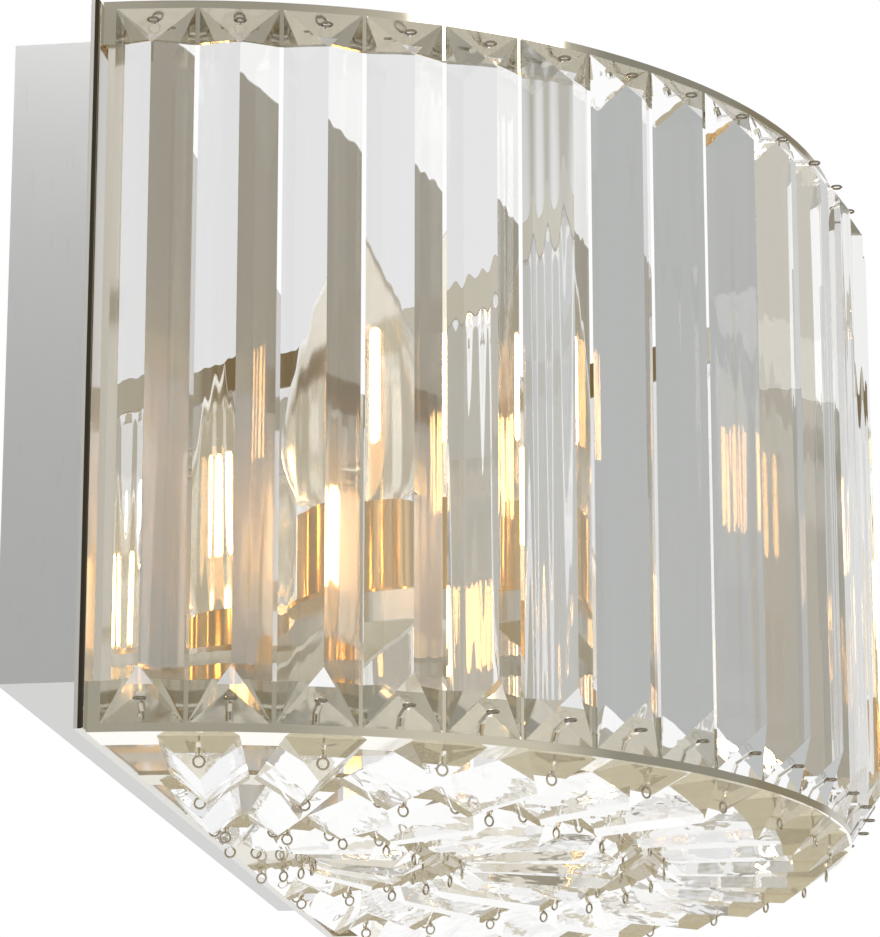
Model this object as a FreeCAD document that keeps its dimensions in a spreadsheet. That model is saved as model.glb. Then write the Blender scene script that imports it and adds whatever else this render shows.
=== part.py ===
import FreeCAD, Part
import Sketcher
import math
import os

"""Crystal wall sconce: a half-round drum of triangular glass bars on a wall box.

Millimetres.  X runs along the wall, Y points into the wall and Z up.  The origin
is the middle of the box's rim on the wall, and the drum stands out towards -Y.
"""

V = FreeCAD.Vector
doc = FreeCAD.newDocument("CrystalWallSconce")

# ---------------------------------------------------------------- driving sizes

DIMENSIONS = [
    # drum
    ("drum_radius", 187.0),        # back faces of the upright bars
    ("bar_length", 190.0),
    ("bar_width", 20.8),
    ("bar_ridge", 9.0),            # height of the ridge over the back face
    ("bar_hip", 13.0),             # length of the sloped end facets
    ("fan_hip", 11.7),             # the same, on the bars of the underside
    ("end_margin", 8.4),           # drum's axis to the first bar, along the curve
    ("setback", 5.5),              # drum's axis behind the plate's front face
    # pins and their holes
    ("hole_radius", 1.0),
    ("hole_inset", 5.2),           # hole centre to the bar's end
    ("wire_radius", 0.7),
    ("pin_proud", 1.6),
    # bands and carrier
    ("sheet_metal", 1.2),
    ("top_band_height", 12.0),
    ("bottom_band_height", 13.0),
    ("band_overhang", 2.2),        # band edge past the bars' ends
    ("flange_width", 17.0),
    ("ring_width", 14.0),
    ("strip_width", 6.0),
    ("strip_gap", 1.3),
    ("hub_radius", 24.0),
    ("spoke_width", 8.0),
    ("spoke_thickness", 1.5),
    ("spoke_start", 14.0),
    ("spoke_end", 178.0),
    # bars of the underside
    ("outer_tier_end", 180.5),
    ("outer_tier_start", 122.0),
    ("middle_tier_end", 120.5),
    ("middle_tier_start", 62.5),
    ("inner_tier_end", 61.0),
    ("inner_tier_start", 19.0),
    # plate and box
    ("plate_width", 380.0),
    ("plate_height", 193.6),
    ("plate_thickness", 2.5),
    ("plate_round", 0.8),
    ("box_depth", 20.0),
    ("box_height", 170.0),
    ("box_wall", 1.2),
    # bracket on the wall
    ("bracket_length", 200.0),
    ("bracket_height", 40.0),
    ("bracket_thickness", 2.0),
    ("slot_spacing", 120.0),
    ("slot_length", 12.0),
    ("slot_radius", 2.5),
    ("inlet_radius", 8.0),
    ("grommet_bore", 5.0),
    ("stud_spacing", 160.0),
    ("stud_radius", 2.0),
    ("stud_length", 25.5),
    ("stud_hole_radius", 2.4),
    ("nut_radius", 5.0),
    ("nut_length", 7.0),
    # lamps
    ("lamp_spacing", 120.0),
    ("lamp_reach", 82.0),          # lamp axis in front of the plate
    ("rail_top", -52.0),
    ("rail_height", 8.0),
    ("rail_width", 22.0),
    ("rail_wall", 1.5),
    ("rail_length", 276.0),
    ("cup_radius", 17.0),
    ("cup_floor", 1.2),
    ("tube_radius", 13.5),
    ("tube_bore", 12.0),
    ("tube_height", 26.0),
    ("socket_radius", 11.4),
    ("socket_bore", 7.4),
    ("socket_height", 24.0),
    ("socket_floor", 4.0),
    ("cap_radius", 6.9),
    ("cap_length", 21.0),
    ("bulb_radius", 17.5),
    ("glass_length", 80.0),
    ("seat_gap", 0.3),
]

BAR_COUNT = 26
OUTER_COUNT = 17
MIDDLE_COUNT = 13
INNER_COUNT = 10
OUTER_FIRST = 8.5       # degrees from the plate to the first bar of each tier
OUTER_STEP = 10.1875
MIDDLE_FIRST = 6.9
MIDDLE_STEP = 13.85
INNER_FIRST = 9.0
INNER_STEP = 18.0
SPOKE_ANGLES = (48.0, 90.0, 132.0)
LAMPS = ("left", "middle", "right")
# the glass of a bulb: share of its length, share of its greatest radius
BULB_SHAPE = ((0.2, 0.92), (0.4, 1.0), (0.66, 0.72), (0.88, 0.3), (0.97, 0.1))

sheet = doc.addObject("Spreadsheet::Sheet", "Sheet")
for row, (alias, value) in enumerate(DIMENSIONS, start=1):
    sheet.set(f"A{row}", alias)
    sheet.set(f"B{row}", str(value))
    sheet.setAlias(f"B{row}", alias)
doc.recompute()


def size(alias):
    """A driving dimension, in millimetres."""
    return float(sheet.get(alias))


# places worked out from the driving sizes
BAR_END = size("bar_length") / 2
BAND_EDGE = BAR_END + size("band_overhang")
PLATE_FACE = -(size("box_depth") + size("plate_thickness"))
AXIS_Y = PLATE_FACE + size("setback")
LAMP_Y = PLATE_FACE - size("lamp_reach")
HOLDER_FOOT = size("rail_top") + size("cup_floor")
LEAD_HEIGHT = size("rail_top") - size("rail_height") / 2
NODES = []


# --------------------------------------------------------------------- helpers

def feature(kind, label, **expressions):
    """A document object with its sizes bound to the sheet."""
    item = doc.addObject(kind, label)
    item.Label = label
    for name, expression in expressions.items():
        item.setExpression(name, expression)
    return item


def sheet_name(expression):
    """The expression with each driving size spelled as a cell of the sheet."""
    words = expression.replace("(", " ( ").replace(")", " ) ").split()
    aliases = {alias for alias, value in DIMENSIONS}
    return " ".join("Sheet." + word if word in aliases else word for word in words)


def box(label, length, width, height, at):
    """A block whose middle is at the given place."""
    item = feature("Part::Box", label, Length=sheet_name(length), Width=sheet_name(width),
                   Height=sheet_name(height))
    doc.recompute()
    half = V(item.Length.Value, item.Width.Value, item.Height.Value) * 0.5
    item.Placement.Base = V(*at) - half
    return item


def cylinder(label, radius, height, at, axis=(0, 0, 1), angle=None):
    """A round bar that starts at a place and runs along an axis."""
    item = feature("Part::Cylinder", label, Radius=sheet_name(radius), Height=sheet_name(height))
    turn = FreeCAD.Rotation(V(0, 0, 1), V(*axis))
    if angle:
        item.Angle = angle[1] - angle[0]
        turn = FreeCAD.Rotation(V(0, 0, 1), angle[0])
    item.Placement = FreeCAD.Placement(V(*at), turn)
    return item


def cut(label, base, tool):
    item = doc.addObject("Part::Cut", label)
    item.Label = label
    item.Base = base
    item.Tool = tool
    return item


def fuse(label, shapes):
    item = doc.addObject("Part::MultiFuse", label)
    item.Label = label
    item.Shapes = shapes
    return item


def group(label, shapes):
    """Separate solids that share one node."""
    item = doc.addObject("Part::Compound", label)
    item.Label = label
    item.Links = shapes
    return item


def turned(label, outline, at):
    """A body turned about its upright axis from an outline of (radius, height) corners."""
    body = doc.addObject("PartDesign::Body", label)
    body.Label = label
    profile = body.newObject("Sketcher::SketchObject", label + "_profile")
    plane = next(part for part in body.Origin.OriginFeatures if part.Role == "XZ_Plane")
    profile.AttachmentSupport = (plane, [""])
    profile.MapMode = "FlatFace"
    corners = [V(radius, height, 0) for radius, height in outline]
    count = len(corners)
    for number in range(count):
        line = Part.LineSegment(corners[number], corners[(number + 1) % count])
        profile.addGeometry(line, False)
    for number in range(count):
        profile.addConstraint(Sketcher.Constraint("Coincident", number, 2, (number + 1) % count, 1))
        if outline[number][0] == 0:
            profile.addConstraint(Sketcher.Constraint("PointOnObject", number, 1, -2))
        else:
            profile.addConstraint(Sketcher.Constraint("DistanceX", -1, 1, number, 1, outline[number][0]))
        profile.addConstraint(Sketcher.Constraint("DistanceY", -1, 1, number, 1, outline[number][1]))
    turning = body.newObject("PartDesign::Revolution", label + "_turning")
    turning.Profile = profile
    turning.ReferenceAxis = (profile, ["V_Axis"])
    turning.Angle = 360
    body.Placement.Base = at
    return body


def node(item):
    """Marks an object as a finished piece of the sconce."""
    NODES.append(item)
    return item


def around(centre_y, angle, radius, height):
    """A point at an angle from the left end of a half round, round to its right end."""
    turn = math.radians(180 + angle)
    return V(radius * math.cos(turn), centre_y + radius * math.sin(turn), height)


def on_drum(angle, radius, height):
    """A point round the drum's axis, which lies just behind the plate's face."""
    return around(AXIS_Y, angle, radius, height)


def on_fan(angle, radius, height):
    """A point round the hub of the underside, on the plate's face."""
    return around(PLATE_FACE, angle, radius, height)


def outward(angle):
    """The turn that points local +Y away from the drum's axis, with local Z up."""
    return FreeCAD.Rotation(V(0, 0, 1), 180 + angle - 90)


def underside(angle):
    """The turn that points local +Z away from the drum's axis and local +Y down."""
    return outward(angle).multiply(FreeCAD.Rotation(V(1, 0, 0), -90))


# -------------------------------------------------------------- triangular bars

def drilled(label, solid, holes):
    drill = fuse(label + "_drill", holes)
    return cut(label, solid, drill)


def hexagon_bar(label, radius, height):
    """A six-sided bar along local +Z, for wire and for the holes that it runs through."""
    item = feature("Part::Prism", label, Circumradius=sheet_name(radius))
    item.Polygon = 6
    item.Height = height
    return item


def upright_bar(number, angle):
    """One bar of the drum: flat back, ridge outwards, hipped and drilled ends."""
    label = f"drum_bar_{number:02d}"
    prism = feature(
        "Part::Wedge", label + "_prism",
        Xmin=sheet_name("- bar_width / 2"), Xmax=sheet_name("bar_width / 2"),
        X2min="0", X2max="0", Ymin="0", Ymax=sheet_name("bar_ridge"),
        Zmin=sheet_name("- bar_length / 2"), Zmax=sheet_name("bar_length / 2"),
        Z2min=sheet_name("- bar_length / 2 + bar_hip"),
        Z2max=sheet_name("bar_length / 2 - bar_hip"))
    holes = []
    for end in (-1, 1):
        hole = hexagon_bar(f"{label}_hole_{end}", "hole_radius", size("bar_ridge") + 2)
        height = end * (BAR_END - size("hole_inset"))
        hole.Placement = FreeCAD.Placement(V(0, -1, height), FreeCAD.Rotation(V(1, 0, 0), -90))
        holes.append(hole)
    bar = drilled(label, prism, holes)
    bar.Placement = FreeCAD.Placement(on_drum(angle, size("drum_radius"), 0), outward(angle))
    return node(bar)


def bar_angle(index):
    """Where a bar of the drum stands, in degrees from the left end."""
    margin = math.degrees(size("end_margin") / size("drum_radius"))
    return margin + (180 - 2 * margin) * (index + 0.5) / BAR_COUNT


def fan_bar(label, start, end, width_start, width_end):
    """One bar of the underside, tapered towards the hub, drilled at both ends.

    It is made along +Z with its ridge along +Y.  The ridge and the edges of the
    back face run to one point, so every face is flat.
    """
    length = end - start
    hip = size("fan_hip")
    slope = size("bar_ridge") / size("bar_width")

    def width(reach):
        return width_start + (width_end - width_start) * reach / length

    back = [V(-width_start / 2, 0, 0), V(width_start / 2, 0, 0),
            V(width_end / 2, 0, length), V(-width_end / 2, 0, length)]
    low = V(0, slope * width(hip), hip)
    high = V(0, slope * width(length - hip), length - hip)
    outlines = [
        [back[3], back[2], back[1], back[0]],
        [back[0], back[1], low],
        [back[1], back[2], high, low],
        [back[2], back[3], high],
        [back[3], back[0], low, high],
    ]
    faces = [Part.Face(Part.makePolygon(points + points[:1])) for points in outlines]
    solid = Part.Solid(Part.Shell(faces))
    for reach in (size("hole_inset"), length - size("hole_inset")):
        hole = Part.Face(Part.makePolygon(hexagon(size("hole_radius"), V(0, -1, reach))))
        solid = solid.cut(hole.extrude(V(0, size("bar_ridge") + 2, 0)))
    item = doc.addObject("Part::Feature", label)
    item.Label = label
    item.Shape = solid
    return item


def hexagon(radius, centre):
    """A closed six-sided outline round a centre, square to Y."""
    corners = []
    for side in range(7):
        turn = math.radians(60 * side)
        corners.append(centre + V(radius * math.cos(turn), 0, radius * math.sin(turn)))
    return corners


def fan_tier(label, count, first, step, start, end, width_start, width_end):
    """A half ring of bars under the drum, ridges down."""
    bars = []
    for index in range(count):
        angle = first + step * index
        bar = fan_bar(f"{label}_{index + 1:02d}", start, end, width_start, width_end)
        bar.Placement = FreeCAD.Placement(on_fan(angle, start, -BAND_EDGE), underside(angle))
        bars.append(bar)
    return node(group(label, bars))


# ------------------------------------------------------------------------ pins

def pin_length(slope):
    """From the bar's back face to just past its sloped end facet."""
    return slope * size("hole_inset") + size("pin_proud")


def drum_pins(label, end):
    """The pins at one end of all the upright bars."""
    length = pin_length(size("bar_ridge") / size("bar_hip"))
    pins = []
    for index in range(BAR_COUNT):
        angle = bar_angle(index)
        item = hexagon_bar(f"{label}_{index + 1:02d}", "wire_radius", length)
        place = on_drum(angle, size("drum_radius"), end * (BAR_END - size("hole_inset")))
        turn = outward(angle).multiply(FreeCAD.Rotation(V(1, 0, 0), -90))
        item.Placement = FreeCAD.Placement(place, turn)
        pins.append(item)
    return node(group(label, pins))


def fan_pins(label, count, first, step, start, end, width_start, width_end):
    """The pins at both ends of one tier of the underside."""
    hip = size("fan_hip")
    taper = (width_end - width_start) / (end - start)
    pins = []
    for index in range(count):
        angle = first + step * index
        for side, reach in enumerate((start, end)):
            inwards = size("hole_inset") if side == 0 else -size("hole_inset")
            ridge_width = width_start + taper * (hip if side == 0 else end - start - hip)
            slope = size("bar_ridge") / size("bar_width") * ridge_width / hip
            item = hexagon_bar(f"{label}_{index + 1:02d}_{side}", "wire_radius", pin_length(slope))
            place = on_fan(angle, reach + inwards, -BAND_EDGE)
            turn = outward(angle).multiply(FreeCAD.Rotation(V(1, 0, 0), 180))
            item.Placement = FreeCAD.Placement(place, turn)
            pins.append(item)
    return pins


# -------------------------------------------------------------- metal framework

def half_ring(label, centre_y, inner, outer, height, bottom):
    """A ring round an upright axis, cut off at the plate's face."""
    at = (0, centre_y, bottom)
    disc = cylinder(label + "_disc", outer, height, at)
    hollow = cylinder(label + "_hollow", inner, height, at)
    depth = size("drum_radius") + size("setback")
    behind = box(label + "_behind", "2 * drum_radius + 2", "drum_radius + setback", height,
                 (0, PLATE_FACE + depth / 2, bottom))
    behind.Placement.Base.z = bottom
    return cut(label, disc, fuse(label + "_waste", [hollow, behind]))


def end_feet(label, middle_height, height):
    """Tabs that screw the two ends of a band to the plate."""
    feet = []
    reach = size("drum_radius") - size("sheet_metal") - 5.6
    for side in (-1, 1):
        at = (side * reach, PLATE_FACE - size("sheet_metal") / 2, middle_height)
        feet.append(box(f"{label}_foot_{side}", "12.0", "sheet_metal", height, at))
    return feet


def top_band():
    bottom = BAND_EDGE - size("top_band_height")
    wall = half_ring("top_band_wall", AXIS_Y, "drum_radius - sheet_metal", "drum_radius",
                     "top_band_height", bottom)
    feet = end_feet("top_band", bottom + size("top_band_height") / 2, "top_band_height")
    return node(fuse("top_band", [wall] + feet))


def bottom_band():
    """An angle section: the upright band and a flange that the outer tier is pinned to."""
    wall = half_ring("bottom_band_wall", AXIS_Y, "drum_radius - sheet_metal", "drum_radius",
                     "bottom_band_height", -BAND_EDGE)
    flange = half_ring("bottom_band_flange", AXIS_Y, "drum_radius - flange_width", "drum_radius",
                       "sheet_metal", -BAND_EDGE)
    middle = -BAND_EDGE + size("bottom_band_height") / 2
    feet = end_feet("bottom_band", middle, "bottom_band_height")
    return node(fuse("bottom_band", [wall, flange] + feet))


def end_strip(label, side):
    """An upright flat bar that ties the two bands together beside the plate."""
    start = math.degrees((size("setback") + size("strip_gap")) / size("drum_radius"))
    sweep = math.degrees(size("strip_width") / size("drum_radius"))
    first = 180 + start if side < 0 else 360 - start - sweep
    height = "bar_length + 2 * band_overhang - sheet_metal"
    at = (0, AXIS_Y, -BAND_EDGE + size("sheet_metal"))
    disc = cylinder(label + "_disc", "drum_radius - sheet_metal", height, at, angle=(first, first + sweep))
    hollow = cylinder(label + "_hollow", "drum_radius - 2 * sheet_metal", height, at)
    return node(cut(label, disc, hollow))


def carrier():
    """Half rings, hub and rail that the inner ends of the underside's bars are pinned to."""
    level = -BAND_EDGE
    node(half_ring("middle_ring", PLATE_FACE, "middle_tier_end + 0.75 - ring_width / 2",
                   "middle_tier_end + 0.75 + ring_width / 2", "sheet_metal", level))
    node(half_ring("inner_ring", PLATE_FACE, "inner_tier_end + 0.75 - ring_width / 2",
                   "inner_tier_end + 0.75 + ring_width / 2", "sheet_metal", level))
    node(cylinder("hub_plate", "hub_radius", "sheet_metal", (0, PLATE_FACE, level), angle=(180, 360)))
    spokes = []
    for number, angle in enumerate(SPOKE_ANGLES):
        spoke = feature("Part::Box", f"spoke_{number + 1}", Width=sheet_name("spoke_width"),
                        Height=sheet_name("spoke_thickness"),
                        Length=sheet_name("spoke_end - spoke_start"))
        spoke.Placement = FreeCAD.Placement(
            on_fan(angle, size("spoke_start"), level + size("sheet_metal")),
            FreeCAD.Rotation(V(0, 0, 1), 180 + angle))
        sideways = spoke.Placement.Rotation.multVec(V(0, -size("spoke_width") / 2, 0))
        spoke.Placement.Base = spoke.Placement.Base + sideways
        spokes.append(spoke)
    node(group("spokes", spokes))


# ---------------------------------------------------------------- plate and box

def stud_places():
    return [side * size("stud_spacing") / 2 for side in (-1, 1)]


def back_plate():
    """Polished plate, its front edges rounded, with holes for the studs and the lamp lead."""
    at = (0, PLATE_FACE + size("plate_thickness") / 2, 0)
    blank = box("back_plate_blank", "plate_width", "plate_thickness", "plate_height", at)
    doc.recompute()
    rounded = doc.addObject("Part::Fillet", "back_plate_rounded")
    rounded.Base = blank
    edges = []
    for number, edge in enumerate(blank.Shape.Edges, start=1):
        if all(abs(corner.Y - PLATE_FACE) < 1e-6 for corner in edge.Vertexes):
            edges.append((number, size("plate_round"), size("plate_round")))
    rounded.Edges = edges
    holes = []
    for number, place in enumerate(stud_places()):
        holes.append(cylinder(f"back_plate_hole_{number}", "stud_hole_radius", "plate_thickness + 2",
                              (place, PLATE_FACE - 1, 0), (0, 1, 0)))
    holes.append(cylinder("back_plate_lead_hole", "grommet_bore", "plate_thickness + 2",
                          (0, PLATE_FACE - 1, LEAD_HEIGHT), (0, 1, 0)))
    return node(drilled("back_plate", rounded, holes))


def back_box():
    """Folded box, open to the wall, behind the plate."""
    depth = size("box_depth")
    outside = box("back_box_outside", "plate_width", "box_depth", "box_height", (0, -depth / 2, 0))
    inside = box("back_box_inside", "plate_width - 2 * box_wall", "box_depth",
                 "box_height - 2 * box_wall", (0, size("box_wall") - depth / 2, 0))
    holes = [inside]
    for number, place in enumerate(stud_places()):
        holes.append(cylinder(f"back_box_hole_{number}", "stud_hole_radius", "box_wall + 4",
                              (place, -depth - 2, 0), (0, 1, 0)))
    holes.append(cylinder("back_box_lead_hole", "grommet_bore", "box_wall + 4",
                          (0, -depth - 2, LEAD_HEIGHT), (0, 1, 0)))
    return node(drilled("back_box", outside, holes))


def slot(label, centre_x):
    """A slot along X, through the bracket."""
    half = (size("slot_length") - 2 * size("slot_radius")) / 2
    ends = []
    for side in (-1, 1):
        ends.append(cylinder(f"{label}_end_{side}", "slot_radius", "bracket_thickness + 2",
                             (centre_x + side * half, -size("bracket_thickness") - 1, 0), (0, 1, 0)))
    middle = box(f"{label}_middle", "slot_length - 2 * slot_radius", "bracket_thickness + 2",
                 "2 * slot_radius", (centre_x, -size("bracket_thickness") / 2, 0))
    return ends + [middle]


def mounting_bracket():
    """Flat bar screwed to the wall through two slots, with the cable hole in its middle."""
    thickness = size("bracket_thickness")
    bar = box("mounting_bracket_bar", "bracket_length", "bracket_thickness", "bracket_height",
              (0, -thickness / 2, 0))
    holes = [cylinder("mounting_bracket_inlet", "inlet_radius", "bracket_thickness + 2",
                      (0, -thickness - 1, 0), (0, 1, 0))]
    for number, side in enumerate((-1, 1)):
        holes += slot(f"mounting_bracket_slot_{number}", side * size("slot_spacing") / 2)
    return node(drilled("mounting_bracket", bar, holes))


def cable_grommet():
    """Rubber bush in the bracket's cable hole."""
    thickness = size("bracket_thickness")
    body = cylinder("cable_grommet_body", "inlet_radius", "bracket_thickness",
                    (0, -thickness, 0), (0, 1, 0))
    lip = cylinder("cable_grommet_lip", "inlet_radius + 2", "1.5", (0, -thickness - 1.5, 0), (0, 1, 0))
    bore = cylinder("cable_grommet_bore", "grommet_bore", "bracket_thickness + 6",
                    (0, -thickness - 4, 0), (0, 1, 0))
    return node(cut("cable_grommet", fuse("cable_grommet_solid", [body, lip]), bore))


def studs_and_nuts():
    """Two studs stand on the bracket, and knurled nuts hold box and plate on them."""
    studs = []
    nuts = []
    for number, place in enumerate(stud_places()):
        foot = -size("bracket_thickness")
        studs.append(cylinder(f"stud_{number}", "stud_radius", "stud_length", (place, foot, 0), (0, -1, 0)))
        knob = cylinder(f"nut_{number}_knob", "nut_radius", "nut_length", (place, PLATE_FACE, 0), (0, -1, 0))
        bore = cylinder(f"nut_{number}_bore", "stud_radius + 0.05", "nut_length - 1.5",
                        (place, PLATE_FACE, 0), (0, -1, 0))
        nuts.append(cut(f"nut_{number}", knob, bore))
    node(group("mounting_studs", studs))
    node(group("fixing_nuts", nuts))


def terminal_block():
    """Three-pole block on the bracket, with a wire hole through each pole."""
    foot = -size("bracket_thickness") - 5.5
    body = box("terminal_block_body", "30.0", "11.0", "16.0", (38, foot, 12 - 20))
    holes = []
    for pole in (-1, 0, 1):
        holes.append(cylinder(f"terminal_block_pole_{pole}", "1.6", "20", (38 + 10 * pole, foot, -18)))
    return node(drilled("terminal_block", body, holes))


def earth_terminal():
    """Hexagon-headed earth screw on the bracket."""
    head = feature("Part::Prism", "earth_terminal", Circumradius="4.0", Height="6.0")
    head.Polygon = 6
    head.Placement = FreeCAD.Placement(V(-34, -size("bracket_thickness"), 0),
                                       FreeCAD.Rotation(V(0, 0, 1), V(0, -1, 0)))
    return node(head)


# ----------------------------------------------------------------------- lamps

def lamp_rail():
    """Channel under the lampholders, carried by two arms on the plate."""
    top = size("rail_top")
    height = size("rail_height")
    solid = box("lamp_rail_solid", "rail_length", "rail_width", "rail_height", (0, LAMP_Y, top - height / 2))
    hollow = box("lamp_rail_hollow", "rail_length - 2 * rail_wall", "rail_width - 2 * rail_wall",
                 "rail_height", (0, LAMP_Y, top - height / 2 - size("rail_wall")))
    arms = []
    reach = size("lamp_reach") - size("rail_width") / 2
    for side in (-1, 1):
        at = (side * 70, PLATE_FACE - reach / 2, top - size("rail_wall") / 2)
        arms.append(box(f"lamp_rail_arm_{side}", "16.0", "lamp_reach - rail_width / 2", "rail_wall", at))
        foot = (side * 70, PLATE_FACE - size("rail_wall") / 2, top + 4)
        arms.append(box(f"lamp_rail_foot_{side}", "16.0", "rail_wall", "11.0", foot))
    channel = cut("lamp_rail_channel", solid, hollow)
    return node(fuse("lamp_rail", [channel] + arms))


def lamp_x(index):
    return (index - 1) * size("lamp_spacing")


def candle_cup(name, x):
    """Flanged cup and tube round the lampholder."""
    top = size("tube_height")
    outer = size("tube_radius")
    inner = size("tube_bore")
    rim = size("cup_radius")
    floor = size("cup_floor")
    outline = [(0, 0), (rim, 0), (rim, floor), (outer, floor), (outer, top), (inner, top),
               (inner, floor), (0, floor)]
    return node(turned(f"candle_cup_{name}", outline, V(x, LAMP_Y, size("rail_top"))))


def lampholder(name, x):
    """Small-screw lampholder: a cup with a contact floor."""
    outer = size("socket_radius")
    inner = size("socket_bore")
    top = size("socket_height")
    floor = size("socket_floor")
    outline = [(0, 0), (outer, 0), (outer, top), (inner, top), (inner, floor), (0, floor)]
    return node(turned(f"lampholder_{name}", outline, V(x, LAMP_Y, HOLDER_FOOT)))


def bulb(name, x):
    """Candle bulb: contact, screw cap, neck, belly and drawn tip."""
    cap = size("cap_radius")
    belly = size("bulb_radius")
    shoulder = size("cap_length")
    glass = size("glass_length")
    outline = [(0, 0), (2.4, 0), (2.4, 2), (cap, 2), (cap, shoulder)]
    for reach, share in BULB_SHAPE:
        outline.append((belly * share, shoulder + glass * reach))
    outline.append((0, shoulder + glass))
    seat = HOLDER_FOOT + size("socket_floor") + size("seat_gap")
    return node(turned(f"bulb_{name}", outline, V(x, LAMP_Y, seat)))


# ------------------------------------------------------------------------ build

TIERS = {
    "outer_fan_bars": (OUTER_COUNT, OUTER_FIRST, OUTER_STEP, size("outer_tier_start"),
                       size("outer_tier_end"), size("bar_width"), size("bar_width")),
    "middle_fan_bars": (MIDDLE_COUNT, MIDDLE_FIRST, MIDDLE_STEP, size("middle_tier_start"),
                        size("middle_tier_end"), 14.4, size("bar_width")),
    "inner_fan_bars": (INNER_COUNT, INNER_FIRST, INNER_STEP, size("inner_tier_start"),
                       size("inner_tier_end"), 5.6, 18.2),
}

back_box()
back_plate()
mounting_bracket()
cable_grommet()
studs_and_nuts()
terminal_block()
earth_terminal()
top_band()
bottom_band()
end_strip("end_strip_left", -1)
end_strip("end_strip_right", 1)
carrier()
lamp_rail()
for index, name in enumerate(LAMPS):
    candle_cup(name, lamp_x(index))
    lampholder(name, lamp_x(index))
    bulb(name, lamp_x(index))
for index in range(BAR_COUNT):
    upright_bar(index + 1, bar_angle(index))
all_fan_pins = []
for label, tier in TIERS.items():
    fan_tier(label, *tier)
    all_fan_pins += fan_pins(label.replace("bars", "pins"), *tier)
node(group("fan_pins", all_fan_pins))
drum_pins("upper_drum_pins", 1)
drum_pins("lower_drum_pins", -1)
doc.recompute()

for item in doc.Objects:
    if "Invalid" in item.State or "Error" in item.State:
        raise RuntimeError(f"{item.Label} failed: {item.State}")
os.makedirs("parts", exist_ok=True)
for item in NODES:
    shape = item.Shape
    if shape.isNull() or not shape.isValid() or not shape.Solids:
        raise RuntimeError(f"{item.Label} has no valid solid")
    shape.exportStep(os.path.join("parts", item.Label + ".step"))
print(len(NODES), "nodes written")
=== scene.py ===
# %% [markdown]
# # Crystal wall sconce
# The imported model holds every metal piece, lamp and glass bar at its real size.
# This lesson dresses it: it gives each piece its finish, and makes the small wire
# eyes, the blown lamp glass and the filaments that plain solids leave out.

# %% Load the frame
import bpy
import math
from mathutils import Matrix, Vector


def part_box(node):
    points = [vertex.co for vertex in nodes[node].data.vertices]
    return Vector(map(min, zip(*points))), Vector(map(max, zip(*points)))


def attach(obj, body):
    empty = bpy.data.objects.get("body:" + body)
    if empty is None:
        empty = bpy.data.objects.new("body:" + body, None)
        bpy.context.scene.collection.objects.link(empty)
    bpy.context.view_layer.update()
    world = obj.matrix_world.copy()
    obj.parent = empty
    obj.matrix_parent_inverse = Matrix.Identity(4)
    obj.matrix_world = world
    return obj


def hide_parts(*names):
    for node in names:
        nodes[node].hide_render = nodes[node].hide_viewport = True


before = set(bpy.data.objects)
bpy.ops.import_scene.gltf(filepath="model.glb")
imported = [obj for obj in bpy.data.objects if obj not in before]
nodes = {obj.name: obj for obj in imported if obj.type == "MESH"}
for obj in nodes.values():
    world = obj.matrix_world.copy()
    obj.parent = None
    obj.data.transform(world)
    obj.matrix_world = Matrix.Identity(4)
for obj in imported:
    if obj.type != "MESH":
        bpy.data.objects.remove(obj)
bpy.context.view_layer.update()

MM = 0.001
print("nodes:", len(nodes))

# %% [markdown]
# The drum is nearly a half round about an upright axis, which lies a little behind
# the plate's front face. Its radius, the plate and the lower ends of the bars are
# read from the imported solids, so that what is added here follows them.

# %% Measure the drum
plate_low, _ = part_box("back_plate")
band_low, band_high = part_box("bottom_band")
bar_low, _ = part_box("drum_bar_13")
PLATE_Y = plate_low.y
DRUM_RADIUS = (band_high.x - band_low.x) / 2
AXIS_Y = band_low.y + DRUM_RADIUS
BAND_BOTTOM = band_low.z
BAR_BOTTOM = bar_low.z
print("drum radius:", round(DRUM_RADIUS, 4), "axis:", round(AXIS_Y, 4),
      "plate face:", round(PLATE_Y, 4))

# %% [markdown]
# The photograph looks along the wall, a little upwards, from about 1.1 m away. The
# lens and the place come from a fit to the bars' ends; the numbers below are the
# camera's place from the drum's axis, in millimetres, and its two turns.

# %% Camera
FOCAL_PIXELS = 3843.0
FRAME_WIDTH = 880
CAMERA_PLACE = Vector((-1103.1, -228.8, -188.6)) * MM
CAMERA_PITCH = 0.26452
CAMERA_YAW = 0.14568


def look_direction(pitch, yaw):
    """The way that a camera with this pitch and yaw looks."""
    flat = math.cos(pitch)
    return Vector((flat * math.cos(yaw), flat * math.sin(yaw), math.sin(pitch)))


bpy.ops.object.camera_add()
camera = bpy.context.object
camera.name = "camera"
camera.data.sensor_fit = "HORIZONTAL"
camera.data.sensor_width = 36.0
camera.data.lens = camera.data.sensor_width * FOCAL_PIXELS / FRAME_WIDTH
camera.location = Vector((0, AXIS_Y, BAR_BOTTOM)) + CAMERA_PLACE
aim = look_direction(CAMERA_PITCH, CAMERA_YAW)
camera.rotation_euler = aim.to_track_quat("-Z", "Y").to_euler()
bpy.context.scene.camera = camera
print("lens:", round(camera.data.lens, 1), "mm")

# %% [markdown]
# A few helpers serve every finish: one turns an sRGB hex colour to the linear values
# that the shader works in, and the others add and link the nodes that come up often.
#
# The renderer stops a ray after a few bounces and leaves it black. Mirrors that face
# each other through glass reach that limit often. So a surface that would end a ray
# gives off pale room light instead. This is a trick: the real surface doesn't shine,
# and in a dark room it would be too bright. A higher bounce limit would be truer,
# but the render settings aren't part of this file.

# %% Material helpers


def colour(code):
    """Linear RGBA of an sRGB hex colour."""
    channels = [int(code[start:start + 2], 16) / 255 for start in (1, 3, 5)]
    linear = [c / 12.92 if c <= 0.04045 else ((c + 0.055) / 1.055) ** 2.4 for c in channels]
    return (*linear, 1.0)


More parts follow.
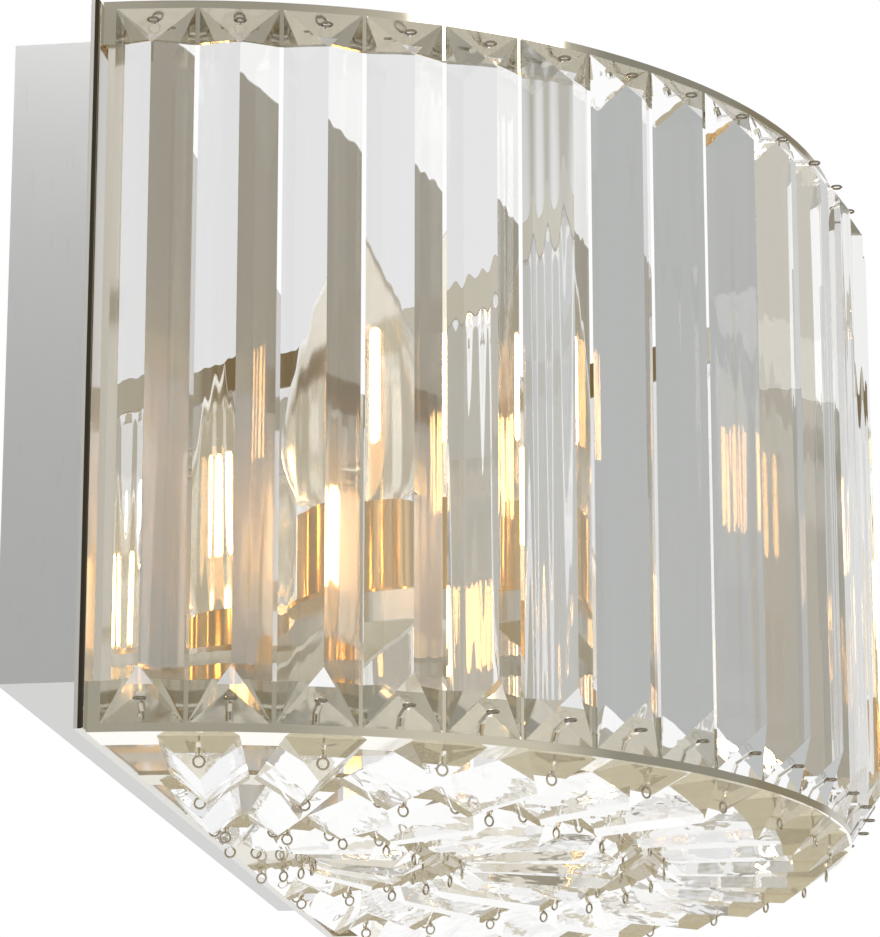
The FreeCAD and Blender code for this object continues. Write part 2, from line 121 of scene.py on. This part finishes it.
def add(tree, kind, links=None, settings=None, **sockets):
    """Adds a node, sets its properties and sockets, and links its inputs."""
    made = tree.nodes.new(kind)
    for name, value in (settings or {}).items():
        setattr(made, name, value)
    for name, value in sockets.items():
        made.inputs[name.replace("_", " ")].default_value = value
    for name, source in (links or {}).items():
        tree.links.new(source, made.inputs[name])
    return made


def new_material(name):
    """An empty material and its node tree, with the output node."""
    material = bpy.data.materials.new(name)
    material.use_nodes = True
    tree = material.node_tree
    tree.nodes.clear()
    return material, tree, tree.nodes.new("ShaderNodeOutputMaterial")


def calculate(tree, operation, first, second=None):
    """A math node's result. The second value is a number or another node's output."""
    made = add(tree, "ShaderNodeMath", settings={"operation": operation})
    tree.links.new(first, made.inputs[0])
    if isinstance(second, float):
        made.inputs[1].default_value = second
    elif second is not None:
        tree.links.new(second, made.inputs[1])
    return made.outputs["Value"]


def between(tree, value, least, most):
    """Spreads a value that runs from 0 to 1 over another range."""
    spread = add(tree, "ShaderNodeMapRange", {"Value": value})
    spread.inputs["To Min"].default_value = least
    spread.inputs["To Max"].default_value = most
    return spread.outputs["Result"]


def blend(tree, share, first, second):
    """Mixes two shaders. The share is a number or another node's output."""
    made = add(tree, "ShaderNodeMixShader")
    if isinstance(share, float):
        made.inputs[0].default_value = share
    else:
        tree.links.new(share, made.inputs[0])
    tree.links.new(first, made.inputs[1])
    tree.links.new(second, made.inputs[2])
    return made.outputs["Shader"]


def two_tints(tree, share, first, second):
    """One colour where the share is 0, and the other where it is 1."""
    made = add(tree, "ShaderNodeMix", {"Factor": share}, {"data_type": "RGBA"})
    made.inputs["A"].default_value = colour(first)
    made.inputs["B"].default_value = colour(second)
    return made.outputs["Result"]


LOST_LIGHT = 0.88
METAL_MIRRORS = 3.5


def last_light(tree, shader, depth, limit, tint):
    """Where a ray has used up its bounces, the surface ends it in the room's light."""
    path = add(tree, "ShaderNodeLightPath")
    spent = calculate(tree, "GREATER_THAN", path.outputs[depth], limit)
    room = add(tree, "ShaderNodeEmission", Color=colour(tint), Strength=LOST_LIGHT)
    return blend(tree, spent, shader, room.outputs["Emission"])


def dress(names, material):
    """Gives CAD nodes one material."""
    for name in names:
        slots = nodes[name].data.materials
        slots.clear()
        slots.append(material)


# %% [markdown]
# The bars are polished optical glass. Real ones are never quite perfect: pressing
# and polishing leave faint long waves in the faces, which bend what is seen through
# them. Two weak noises in the bump do that: broad waves, and fine upright draw lines
# that split what lies behind into streaks. Light crosses dozens of faces here, more
# than the renderer follows. So a ray that has already crossed many faces goes on
# straight, and one that is still inside after that ends in the room's light.

# %% Crystal glass
GLASS_IOR = 1.54
WAVE_LENGTH = 16 * MM
WAVE_STRETCH = 0.12
WAVE_DEPTH = 0.28
DRAW_LENGTH = 3.5 * MM
DRAW_STRETCH = 0.02
DRAW_DEPTH = 0.07
BENT_FACES = 8.5
MIRRORED_FACES = 2.5
STRAIGHT_FACES = 5.5


def clear_when_deep(tree, glass):
    """The glass shader, which lets rays that have crossed many faces go straight on."""
    path = add(tree, "ShaderNodeLightPath")
    bent = calculate(tree, "GREATER_THAN", path.outputs["Ray Depth"], BENT_FACES)
    mirrored = calculate(tree, "GREATER_THAN", path.outputs["Glossy Depth"], MIRRORED_FACES)
    deep = calculate(tree, "MAXIMUM", bent, mirrored)
    straight = add(tree, "ShaderNodeBsdfTransparent", Color=(1, 1, 1, 1))
    mixed = blend(tree, deep, glass.outputs["BSDF"], straight.outputs["BSDF"])
    return last_light(tree, mixed, "Transparent Depth", STRAIGHT_FACES, "#F6F3EC")


def crystal_glass(name):
    """Clear glass with faint waves and draw lines in its faces."""
    material, tree, output = new_material(name)
    place = add(tree, "ShaderNodeTexCoord")
    stretch = add(tree, "ShaderNodeMapping", {"Vector": place.outputs["Object"]},
                  Scale=(1, 1, WAVE_STRETCH))
    waves = add(tree, "ShaderNodeTexNoise", {"Vector": stretch.outputs["Vector"]},
                Scale=1 / WAVE_LENGTH, Detail=0.0)
    long_stretch = add(tree, "ShaderNodeMapping", {"Vector": place.outputs["Object"]},
                       Scale=(1, 1, DRAW_STRETCH))
    draw = add(tree, "ShaderNodeTexNoise", {"Vector": long_stretch.outputs["Vector"]},
               Scale=1 / DRAW_LENGTH, Detail=0.0)
    lines = add(tree, "ShaderNodeBump", {"Height": draw.outputs["Fac"]},
                Strength=DRAW_DEPTH, Distance=1 * MM)
    bump = add(tree, "ShaderNodeBump",
               {"Height": waves.outputs["Fac"], "Normal": lines.outputs["Normal"]},
               Strength=WAVE_DEPTH, Distance=1 * MM)
    glass = add(tree, "ShaderNodeBsdfPrincipled", {"Normal": bump.outputs["Normal"]},
                IOR=GLASS_IOR, Roughness=0.0, Base_Color=colour("#FDFDFC"))
    glass.inputs["Transmission Weight"].default_value = 1.0
    tree.links.new(clear_when_deep(tree, glass), output.inputs["Surface"])
    return material


bar_names = sorted(name for name in nodes if name.startswith("drum_bar"))
fan_names = [name for name in nodes if name.endswith("fan_bars")]
dress(bar_names, crystal_glass("polished_crystal"))
dress(fan_names, crystal_glass("clear_crystal"))
print("glass bars:", len(bar_names))

# %% [markdown]
# The rings, the rail and the cups are nickel plate, buffed to a mirror. Nickel is a
# little warmer than chrome. Buffing leaves a fine haze, so a sharp reflection lies
# over a wide, faint one, and that wide one spreads the lamps' light. The cups look
# amber in the photograph, so their nickel is tinted warm: painted light, the lamps'
# warm glow reflected in the cups. The cups look amber in the photograph, so their
# nickel is tinted warm; the cause isn't known.

# %% Polished nickel
HAZE_SIZE = 18 * MM
HAZE_SHARE = 0.3
HAZE_ROUGHNESS = 0.38


def polished_nickel(name, tint, roughness):
    """Mirror nickel under a fine haze, with a roughness that varies a little."""
    material, tree, output = new_material(name)
    place = add(tree, "ShaderNodeTexCoord")
    haze = add(tree, "ShaderNodeTexNoise", {"Vector": place.outputs["Object"]},
               Scale=1 / HAZE_SIZE, Detail=3.0)
    rough = between(tree, haze.outputs["Fac"], roughness * 0.6, roughness * 1.4)
    sharp = add(tree, "ShaderNodeBsdfPrincipled", {"Roughness": rough},
                Base_Color=colour(tint), Metallic=1.0)
    wide = add(tree, "ShaderNodeBsdfPrincipled", Base_Color=colour(tint), Metallic=1.0,
               Roughness=HAZE_ROUGHNESS)
    metal = blend(tree, HAZE_SHARE, sharp.outputs["BSDF"], wide.outputs["BSDF"])
    whole = last_light(tree, metal, "Glossy Depth", METAL_MIRRORS, tint)
    tree.links.new(whole, output.inputs["Surface"])
    return material


band_nickel = polished_nickel("buffed_nickel", "#E8E2D2", 0.08)
# the cups' amber tint is painted light: a painted reflection of the lamps' warm glow
cup_nickel_painted_glow = polished_nickel("nickel_painted_warm_glow", "#E0C292", 0.12)
dress(["end_strip_left", "end_strip_right", "middle_ring", "inner_ring", "hub_plate", "spokes",
       "lamp_rail", "fixing_nuts", "mounting_studs"], band_nickel)
dress(["candle_cup_left", "candle_cup_middle", "candle_cup_right"], cup_nickel_painted_glow)

# %% [markdown]
# The two bands are bent nickel strips, and the lower one has a flange. What faces
# down gets painted shading: painted light, paler, under the flange, and painted
# shade, darker, on the lower edge of the top band. These tints are matched to the
# photograph, not measured.

# %% Bent bands
FACES_DOWN = -0.5
BAND_ROUGHNESS = (0.05, 0.12)


def band_with_painted_underside(name, side_tint, painted_under_shading):
    """Nickel with painted shading on the faces that point down: painted light on one band, painted
    shade on the other.
    """
    material, tree, output = new_material(name)
    place = add(tree, "ShaderNodeTexCoord")
    turned = add(tree, "ShaderNodeSeparateXYZ", {"Vector": place.outputs["Normal"]})
    # faces that point down get the painted shading tint
    under = calculate(tree, "LESS_THAN", turned.outputs["Z"], FACES_DOWN)
    tint = two_tints(tree, under, side_tint, painted_under_shading)
    haze = add(tree, "ShaderNodeTexNoise", {"Vector": place.outputs["Object"]}, Scale=1 / HAZE_SIZE)
    rough = between(tree, haze.outputs["Fac"], *BAND_ROUGHNESS)
    metal = add(tree, "ShaderNodeBsdfPrincipled", {"Roughness": rough, "Base Color": tint},
                Metallic=1.0)
    whole = last_light(tree, metal.outputs["BSDF"], "Glossy Depth", METAL_MIRRORS, "#F1ECDF")
    tree.links.new(whole, output.inputs["Surface"])
    return material


# painted shade under the top band, painted light under the bottom band's flange
dress(["top_band"], band_with_painted_underside("top_band_nickel_painted_shade", "#C0B9A6", "#8F8876"))
dress(["bottom_band"], band_with_painted_underside("bottom_band_nickel_painted_light", "#C9C2AE", "#FFFCF2"))

# %% [markdown]
# The plate is a mirror. In the photograph a thin dark line runs down its edge beside
# a light one, so the front of the edge is painted dark here: painted shade. The line
# is matched to the photograph, and could equally be a shadow or something dark that
# the edge mirrors.

# %% Plate edge
PAINTED_SHADE_WIDTH = 1.5 * MM
FACES_SIDEWAYS = 0.5
PLATE_TINT = "#DEDBD4"
PAINTED_SHADE_RIM_TINT = "#454034"
PLATE_ROUGHNESS = (0.02, 0.05)


def edged_plate():
    """Mirror nickel, with a painted shade line along the front of its cut edge."""
    material, tree, output = new_material("mirror_plate")
    place = add(tree, "ShaderNodeTexCoord")
    parts = add(tree, "ShaderNodeSeparateXYZ", {"Vector": place.outputs["Object"]})
    turned = add(tree, "ShaderNodeSeparateXYZ", {"Vector": place.outputs["Normal"]})
    side = calculate(tree, "ABSOLUTE", turned.outputs["X"])
    is_side = calculate(tree, "GREATER_THAN", side, FACES_SIDEWAYS)
    near_front = calculate(tree, "LESS_THAN", parts.outputs["Y"], PLATE_Y + PAINTED_SHADE_WIDTH)
    rim = calculate(tree, "MULTIPLY", is_side, near_front)
    # the dark tint on the front of the plate's edge is painted shade
    tint = two_tints(tree, rim, PLATE_TINT, PAINTED_SHADE_RIM_TINT)
    haze = add(tree, "ShaderNodeTexNoise", {"Vector": place.outputs["Object"]}, Scale=1 / HAZE_SIZE)
    rough = between(tree, haze.outputs["Fac"], *PLATE_ROUGHNESS)
    sharp = add(tree, "ShaderNodeBsdfPrincipled", {"Roughness": rough, "Base Color": tint},
                Metallic=1.0)
    wide = add(tree, "ShaderNodeBsdfPrincipled", {"Base Color": tint},
               Metallic=1.0, Roughness=HAZE_ROUGHNESS)
    metal = blend(tree, HAZE_SHARE, sharp.outputs["BSDF"], wide.outputs["BSDF"])
    whole = last_light(tree, metal, "Glossy Depth", METAL_MIRRORS, PLATE_TINT)
    tree.links.new(whole, output.inputs["Surface"])
    return material


dress(["back_plate"], edged_plate())

# %% [markdown]
# The box is folded sheet with a satin nickel finish: the belt that made it leaves
# fine upright lines, seen as a soft stretched highlight.

# %% Satin nickel
LINE_SPACING = 0.4 * MM
LINE_STRETCH = 0.02
SATIN_ROUGHNESS = (0.24, 0.36)
LINE_DEPTH = 0.03


def satin_nickel():
    """Brushed nickel: fine upright lines in its roughness and in its bump."""
    material, tree, output = new_material("satin_nickel")
    place = add(tree, "ShaderNodeTexCoord")
    stretch = add(tree, "ShaderNodeMapping", {"Vector": place.outputs["Object"]},
                  Scale=(1, 1, LINE_STRETCH))
    lines = add(tree, "ShaderNodeTexNoise", {"Vector": stretch.outputs["Vector"]},
                Scale=1 / LINE_SPACING, Detail=2.0)
    rough = between(tree, lines.outputs["Fac"], *SATIN_ROUGHNESS)
    bump = add(tree, "ShaderNodeBump", {"Height": lines.outputs["Fac"]},
               Strength=LINE_DEPTH, Distance=0.2 * MM)
    metal = add(tree, "ShaderNodeBsdfPrincipled",
                {"Roughness": rough, "Normal": bump.outputs["Normal"]},
                Base_Color=colour("#CFCFCE"), Metallic=1.0)
    tree.links.new(metal.outputs["BSDF"], output.inputs["Surface"])
    return material


dress(["back_box"], satin_nickel())

# %% [markdown]
# Small hidden parts: moulded thermoplastic for the holders and the terminal block,
# rubber for the grommet, zinc-plated steel for the bracket and brass for the earth.

# %% Hidden parts


def plain_finish(name, tint, roughness, metallic, grain):
    """One colour, with a roughness that varies in a fine grain."""
    material, tree, output = new_material(name)
    place = add(tree, "ShaderNodeTexCoord")
    speckle = add(tree, "ShaderNodeTexNoise", {"Vector": place.outputs["Object"]}, Scale=1 / grain)
    rough = between(tree, speckle.outputs["Fac"], roughness * 0.8, roughness * 1.2)
    coat = add(tree, "ShaderNodeBsdfPrincipled", {"Roughness": rough},
               Base_Color=colour(tint), Metallic=metallic)
    tree.links.new(coat.outputs["BSDF"], output.inputs["Surface"])
    return material


dress(["lampholder_left", "lampholder_middle", "lampholder_right"],
      plain_finish("moulded_holder", "#EDE6D8", 0.4, 0.0, 1 * MM))
dress(["terminal_block"], plain_finish("moulded_block", "#E4E2DA", 0.45, 0.0, 1 * MM))
dress(["cable_grommet"], plain_finish("soft_rubber", "#1B1B1B", 0.7, 0.0, 0.6 * MM))
dress(["mounting_bracket"], plain_finish("zinc_plate", "#A9ABAC", 0.35, 1.0, 6 * MM))
dress(["earth_terminal"], plain_finish("turned_brass", "#C9A24F", 0.3, 1.0, 2 * MM))

# %% [markdown]
# The lit bulbs are the warm spots behind the glass. The photograph shows only those
# spots, so the candle shape is a guess. A candle bulb is a blown glass drop on a
# nickel screw cap, with slim glowing filaments inside. The glass is drawn ring by
# ring from a small circle, as a glass blower would pull it, and then given a wall.

# %% Bulb shapes
BULB_WALL = 0.7 * MM
CAP_HEIGHT = 21 * MM
CAP_RADIUS = 6.9 * MM
GLASS_LENGTH = 80 * MM
BELLY_RADIUS = 15.4 * MM
GLASS_RINGS = 22
BULB_SIDES = 40
BULB_SMOOTHING = 40
LAMP_NAMES = ("left", "middle", "right")


def select_none():
    bpy.ops.object.select_all(action="DESELECT")


def pull_rings(rings, centre, sides=BULB_SIDES):
    """A turned skin, scaled ring by ring: open at its foot and closed at the top."""
    select_none()
    radius, height = rings[0]
    bpy.ops.mesh.primitive_circle_add(vertices=sides, radius=radius, location=(0, 0, 0))
    bpy.ops.object.mode_set(mode="EDIT")
    bpy.ops.transform.translate(value=(0, 0, height))
    for next_radius, next_height in rings[1:]:
        rise = next_height - height
        bpy.ops.mesh.extrude_region_move(TRANSFORM_OT_translate={"value": (0, 0, rise)})
        scale = next_radius / radius
        bpy.ops.transform.resize(value=(scale, scale, 1),
                                 center_override=(0, 0, next_height))
        radius, height = next_radius, next_height
    bpy.ops.mesh.edge_face_add()
    bpy.ops.mesh.select_all(action="SELECT")
    bpy.ops.mesh.normals_make_consistent(inside=False)
    bpy.ops.object.mode_set(mode="OBJECT")
    made = bpy.context.object
    made.location = centre
    bpy.ops.object.transform_apply(location=True, rotation=True, scale=True)
    return made


def glass_radius(share):
    """Radius of the candle glass, from its neck at 0 to its drawn tip at 1."""
    belly = math.sin(math.pi * share ** 0.65) ** 0.9 if share < 1 else 0.0
    return BELLY_RADIUS * belly + CAP_RADIUS * (1 - share) ** 3 + 0.2 * MM


def glass_profile():
    """The candle glass as rings, each a radius and a height."""
    shares = [number / GLASS_RINGS for number in range(GLASS_RINGS)] + [0.985, 1.0]
    return [(glass_radius(share), CAP_HEIGHT + GLASS_LENGTH * share) for share in shares]


def cap_profile():
    """Contact, insulator and a screw shell with rounded thread ridges."""
    rings = [(2.4 * MM, 0.0), (2.4 * MM, 1.6 * MM), (5.6 * MM, 2.6 * MM)]
    turns = 5
    pitch = 2.8 * MM
    for turn in range(turns):
        foot = 3.0 * MM + turn * pitch
        rings += [(CAP_RADIUS - 0.5 * MM, foot), (CAP_RADIUS, foot + 0.35 * pitch),
                  (CAP_RADIUS, foot + 0.65 * pitch)]
    rings += [(CAP_RADIUS - 0.4 * MM, 18 * MM), (CAP_RADIUS, CAP_HEIGHT)]
    return rings


def finish_bulb(piece, name, body, material):
    """Names, smooths and dresses a piece of a bulb, and ties it to its body."""
    piece.name = name
    bpy.context.view_layer.objects.active = piece
    select_none()
    piece.select_set(True)
    bpy.ops.object.shade_smooth_by_angle(angle=math.radians(BULB_SMOOTHING))
    piece.data.materials.clear()
    piece.data.materials.append(material)
    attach(piece, body)


# %% [markdown]
# Clear glass for the drop, and a filament that is far brighter than the room, in the
# warm white of a 2700 K lamp. Real glass has an index of about 1.5. Here it is lower
# and faintly rough, because the photograph shows soft spots of light and no outlines
# of the bulbs.

# %% Bulb finishes
FILAMENT_LIGHT = 160.0
BULB_IOR = 1.25
BULB_ROUGHNESS = 0.08
RIPPLES_PER_METRE = 60.0
RIPPLE_DEPTH = 0.04
COIL_BANDS = 300.0


def clear_glass():
    """Thin clear glass with faint ripples."""
    material, tree, output = new_material("blown_clear_glass")
    place = add(tree, "ShaderNodeTexCoord")
    ripples = add(tree, "ShaderNodeTexNoise", {"Vector": place.outputs["Object"]},
                Scale=RIPPLES_PER_METRE)
    bump = add(tree, "ShaderNodeBump", {"Height": ripples.outputs["Fac"]},
               Strength=RIPPLE_DEPTH, Distance=1 * MM)
    glass = add(tree, "ShaderNodeBsdfPrincipled", {"Normal": bump.outputs["Normal"]},
                IOR=BULB_IOR, Roughness=BULB_ROUGHNESS, Base_Color=colour("#FFFBF2"))
    glass.inputs["Transmission Weight"].default_value = 1.0
    tree.links.new(clear_when_deep(tree, glass), output.inputs["Surface"])
    return material


def hot_filament():
    """Warm light in fine bands, like a coil."""
    material, tree, output = new_material("hot_filament")
    place = add(tree, "ShaderNodeTexCoord")
    coil = add(tree, "ShaderNodeTexWave", {"Vector": place.outputs["Object"]},
               settings={"bands_direction": "Z"}, Scale=COIL_BANDS)
    heat = between(tree, coil.outputs["Fac"], FILAMENT_LIGHT * 0.7, FILAMENT_LIGHT)
    glow = add(tree, "ShaderNodeBsdfPrincipled", {"Emission Strength": heat},
               Base_Color=colour("#FFD9A0"))
    glow.inputs["Emission Color"].default_value = colour("#FFC680")
    tree.links.new(glow.outputs["BSDF"], output.inputs["Surface"])
    return material


# %% Make the bulbs
FILAMENTS = 4
FILAMENT_LENGTH = 30 * MM
FILAMENT_RADIUS = 1.5 * MM
FILAMENT_SPREAD = 5 * MM
FILAMENT_FOOT = CAP_HEIGHT + 20 * MM
FILAMENT_TIP = FILAMENT_RADIUS * 0.4
FIRST_TURN = 0.5
FILAMENT_SIDES = 8


def filament_set(centre):
    """Slim glowing rods that stand upright in a ring."""
    rods = []
    for number in range(FILAMENTS):
        turn = 2 * math.pi * number / FILAMENTS + FIRST_TURN
        foot = centre + Vector((math.cos(turn), math.sin(turn), 0)) * FILAMENT_SPREAD
        rings = [(FILAMENT_TIP, 0.0), (FILAMENT_RADIUS, 1 * MM),
                 (FILAMENT_RADIUS, FILAMENT_LENGTH - 1 * MM), (FILAMENT_TIP, FILAMENT_LENGTH)]
        rods.append(pull_rings(rings, foot + Vector((0, 0, FILAMENT_FOOT)), sides=FILAMENT_SIDES))
    select_none()
    for rod in rods:
        rod.select_set(True)
    bpy.context.view_layer.objects.active = rods[0]
    bpy.ops.object.join()
    return bpy.context.object


drop_glass = clear_glass()
filament_glow = hot_filament()
for lamp in LAMP_NAMES:
    body = "bulb_" + lamp
    low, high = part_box(body)
    foot = Vector(((low.x + high.x) / 2, (low.y + high.y) / 2, low.z))
    glass = pull_rings(glass_profile(), foot)
    wall = glass.modifiers.new("wall", "SOLIDIFY")
    wall.thickness = BULB_WALL
    wall.offset = -1
    bpy.context.view_layer.objects.active = glass
    bpy.ops.object.modifier_apply(modifier="wall")
    finish_bulb(glass, body + "_glass", body, drop_glass)
    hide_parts(body)
    cap = pull_rings(cap_profile(), foot)
    finish_bulb(cap, body + "_cap", body, band_nickel)
    finish_bulb(filament_set(foot), body + "_filaments", body, filament_glow)
print("bulbs:", len(LAMP_NAMES))

# %% [markdown]
# Each bar is held by bent wire, and an eye shows on every sloped end. One eye is made
# from a small ring and a short stem, with fourteen sides round and six about the
# wire, and then copied to the free end of every pin.

# %% Wire eyes
WIRE_RADIUS = 0.3 * MM
EYE_RADIUS = 1.45 * MM
STEM_LENGTH = 3.2 * MM
STEM_REACH = 1.4 * MM
RING_SIDES = 14
WIRE_SIDES = 6
EYE_SMOOTHING = 50


def wire_eye():
    """A flat ring of wire round the origin, with a stem along +Y."""
    select_none()
    bpy.ops.mesh.primitive_torus_add(major_segments=RING_SIDES, minor_segments=WIRE_SIDES,
                                     major_radius=EYE_RADIUS, minor_radius=WIRE_RADIUS)
    ring = bpy.context.object
    bpy.ops.mesh.primitive_cylinder_add(vertices=WIRE_SIDES, radius=WIRE_RADIUS, depth=STEM_LENGTH,
                                        location=(0, EYE_RADIUS + STEM_REACH, 0),
                                        rotation=(math.pi / 2, 0, 0))
    stem = bpy.context.object
    select_none()
    ring.select_set(True)
    stem.select_set(True)
    bpy.context.view_layer.objects.active = ring
    bpy.ops.object.join()
    bpy.ops.object.transform_apply(location=True, rotation=True, scale=True)
    bpy.ops.object.shade_smooth_by_angle(angle=math.radians(EYE_SMOOTHING))
    return ring


def mesh_islands(node_name):
    """The corner points of every separate pin in a group node."""
    mesh = nodes[node_name].data
    corners = [vertex.co.copy() for vertex in mesh.vertices]
    parent = list(range(len(corners)))

    def root(index):
        while parent[index] != index:
            index = parent[index]
        return index

    places = {}
    for index, corner in enumerate(corners):
        key = tuple(round(value * 1e6) for value in corner)
        if key in places:
            parent[root(index)] = root(places[key])
        else:
            places[key] = index
    for polygon in mesh.polygons:
        first = root(polygon.vertices[0])
        for index in polygon.vertices[1:]:
            parent[root(index)] = first
    groups = {}
    for index, corner in enumerate(corners):
        groups.setdefault(root(index), []).append(corner)
    return list(groups.values())


def pin_ends(points, outer):
    """The middle of a pin's free end, and the direction that it points."""
    centre = sum(points, Vector()) / len(points)
    far = [point for point in points if (point - centre).dot(outer(centre)) > 0]
    free = sum(far, Vector()) / len(far)
    return free, outer(centre)


def away_from_plate(point):
    """Level, and straight out from the middle of the plate's face."""
    flat = Vector((point.x, point.y - PLATE_Y, 0))
    return flat.normalized()


def downwards(point):
    """Straight down, wherever the point is."""
    return Vector((0, 0, -1))


def eyes_for(node_name, outer, piece_name, finish):
    """Copies the wire eye to the free end of every pin of a node, as one piece."""
    master = wire_eye()
    copies = []
    for points in mesh_islands(node_name):
        free, direction = pin_ends(points, outer)
        level = outer is away_from_plate
        side = direction.cross(Vector((0, 0, 1)) if level else away_from_plate(free))
        side.normalize()
        third = side.cross(-direction)
        turn = Matrix((side, -direction, third)).transposed().to_4x4()
        eye = master.copy()
        eye.data = master.data.copy()
        bpy.context.collection.objects.link(eye)
        eye.matrix_world = Matrix.Translation(free) @ turn
        copies.append(eye)
    bpy.data.objects.remove(master)
    select_none()
    for eye in copies:
        eye.select_set(True)
    bpy.context.view_layer.objects.active = copies[0]
    bpy.ops.object.join()
    bpy.ops.object.transform_apply(location=True, rotation=True, scale=True)
    piece = bpy.context.object
    piece.name = piece_name
    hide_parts(node_name)
    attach(piece, "sconce")
    piece.data.materials.clear()
    piece.data.materials.append(finish)
    print(piece_name, len(copies), "eyes")


# one wire in two tints: painted shade on the drum's eyes, painted light on the fans' eyes
wire_painted_shade = polished_nickel("wire_nickel_painted_shade", "#8A8272", 0.2)
wire_painted_light = polished_nickel("wire_painted_light", "#B9B09C", 0.15)
eyes_for("upper_drum_pins", away_from_plate, "upper_wire_eyes", wire_painted_shade)
eyes_for("lower_drum_pins", away_from_plate, "lower_wire_eyes", wire_painted_shade)
eyes_for("fan_pins", downwards, "fan_wire_eyes", wire_painted_light)

# %% [markdown]
# The room is a pale studio. Glass shows what stands around it, so a plain white
# room makes it vanish: soft grey and taupe zones in the world give the bars their
# edges. A render in false colours shows which part of the room each face mirrors,
# and the zones were placed by that. The camera itself sees plain white.

# %% Studio
FLOOR_DROP = 0.45
ROOM_LIGHT = 0.95
FLOOR_SIZE = 6
# each zone: its share of the way round the room, from the -X side through -Y (the
# room's front), +X and +Y (the wall) back to -X, and its colour
ROOM_ZONES = ((0.0, "#D0D0D0"), (0.06, "#CFCFCF"), (0.13, "#FFFFFF"), (0.19, "#FFFFFF"),
              (0.235, "#B9BBBA"), (0.325, "#B9BBBA"), (0.34, "#B0AA9C"), (0.41, "#B0AA9C"),
              (0.425, "#ECECEE"), (0.5, "#ECECEE"), (0.52, "#FFFFFF"), (0.74, "#FFFFFF"),
              (0.765, "#9A845A"), (0.81, "#9A845A"), (0.84, "#E6E5E2"), (0.92, "#E0DFDC"),
              (0.95, "#D0D0D0"))


def studio_world():
    """Plain white to the camera; to glass and metal a white room with soft grey zones."""
    world = bpy.data.worlds.new("studio")
    bpy.context.scene.world = world
    world.use_nodes = True
    tree = world.node_tree
    tree.nodes.clear()
    output = tree.nodes.new("ShaderNodeOutputWorld")
    place = add(tree, "ShaderNodeTexCoord")
    parts = add(tree, "ShaderNodeSeparateXYZ", {"Vector": place.outputs["Generated"]})
    turn = calculate(tree, "ARCTAN2", parts.outputs["Y"], parts.outputs["X"])
    share = add(tree, "ShaderNodeMapRange", {"Value": turn})
    share.inputs["From Min"].default_value = -math.pi
    share.inputs["From Max"].default_value = math.pi
    ramp = add(tree, "ShaderNodeValToRGB", {"Fac": share.outputs["Result"]})
    stops = ramp.color_ramp.elements
    while len(stops) > 1:
        stops.remove(stops[-1])
    first, *others = ROOM_ZONES
    stops[0].position = first[0]
    stops[0].color = colour(first[1])
    for position, code in others:
        stops.new(position).color = colour(code)
    room = add(tree, "ShaderNodeBackground", {"Color": ramp.outputs["Color"]},
               Strength=ROOM_LIGHT)
    white = add(tree, "ShaderNodeBackground", Color=(1, 1, 1, 1), Strength=1.0)
    path = add(tree, "ShaderNodeLightPath")
    mixed = blend(tree, path.outputs["Is Camera Ray"], room.outputs["Background"],
                  white.outputs["Background"])
    tree.links.new(mixed, output.inputs["Surface"])


def floor():
    """Pale paint that holds the shadow, and plain white to glass and metal."""
    select_none()
    bpy.ops.mesh.primitive_plane_add(size=FLOOR_SIZE, location=(0, 0, BAND_BOTTOM - FLOOR_DROP))
    ground = bpy.context.object
    ground.name = "floor"
    material, tree, output = new_material("pale_floor")
    paint = add(tree, "ShaderNodeBsdfDiffuse", Color=colour("#F4F4F3"))
    white = add(tree, "ShaderNodeEmission", Color=(1, 1, 1, 1), Strength=1.0)
    path = add(tree, "ShaderNodeLightPath")
    seen = calculate(tree, "MAXIMUM", path.outputs["Is Glossy Ray"],
                     path.outputs["Is Transmission Ray"])
    mixed = blend(tree, seen, paint.outputs["BSDF"], white.outputs["Emission"])
    tree.links.new(mixed, output.inputs["Surface"])
    ground.data.materials.append(material)


def soft_lamp(name, place, target, size, watts):
    """A square of soft light, hidden from rays that come through glass."""
    bpy.ops.object.light_add(type="AREA", location=place)
    lamp = bpy.context.object
    lamp.name = name
    lamp.data.shape = "RECTANGLE"
    lamp.data.size, lamp.data.size_y = size
    lamp.data.energy = watts
    lamp.rotation_euler = (Vector(target) - Vector(place)).to_track_quat("-Z", "Y").to_euler()
    lamp.visible_transmission = False
    return lamp


# each lamp: its name, place, the point it faces and its size in metres, and its watts
STUDIO_LAMPS = (("key", (-0.9, -1.4, 0.9), (0, -0.1, 0), (0.9, 0.9), 8),
                ("side", (-0.8, 0.15, 0.6), (-0.2, 0, 0.05), (0.4, 0.4), 1.2))

studio_world()
floor()
for lamp_values in STUDIO_LAMPS:
    soft_lamp(*lamp_values)
print("lamps:", len(STUDIO_LAMPS), "room zones:", len(ROOM_ZONES))
bpy.context.scene.view_settings.view_transform = "Standard"
